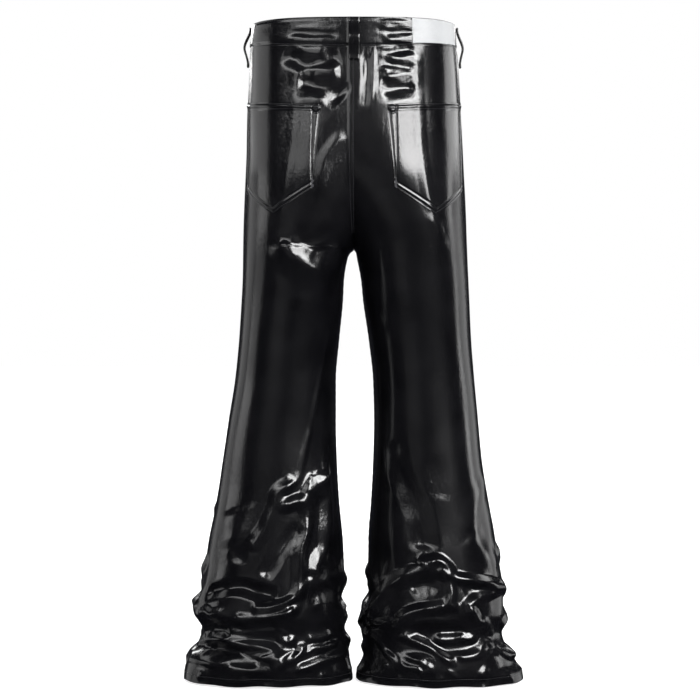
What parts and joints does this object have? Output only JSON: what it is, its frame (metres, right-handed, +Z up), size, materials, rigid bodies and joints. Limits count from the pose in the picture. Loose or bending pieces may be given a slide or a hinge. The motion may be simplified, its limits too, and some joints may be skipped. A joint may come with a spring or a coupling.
{
  "type": "flared jeans",
  "caption": "Flared jeans in glossy black coated denim, worn shape with stacked hems, pointed patch pockets on the seat and a blank white patch on the waistband",
  "frame": {"origin": "middle of the waist opening, level with the waistband's top edge, where the wearer's waist holds the jeans", "axes": "+X towards the wearer's left, +Y out of the seat (the garment's back), +Z up"},
  "size_m": [0.5251, 0.2523, 1.008],
  "materials": {
    "coated_denim": "gloss",
    "blank_patch": "satin",
    "button_metal": "satin"
  },
  "bodies": {
    "root": {"back_left": "coated_denim", "back_right": "coated_denim", "front_left": "coated_denim", "front_right": "coated_denim", "waistband": "coated_denim", "loop_back": "coated_denim", "loop_side_left": "coated_denim", "loop_side_right": "coated_denim", "loop_front_left": "coated_denim", "loop_front_right": "coated_denim", "pocket_left": "coated_denim", "pocket_right": "coated_denim", "fly": "coated_denim", "patch": "blank_patch", "button": "button_metal"}
  },
  "joints": []
}
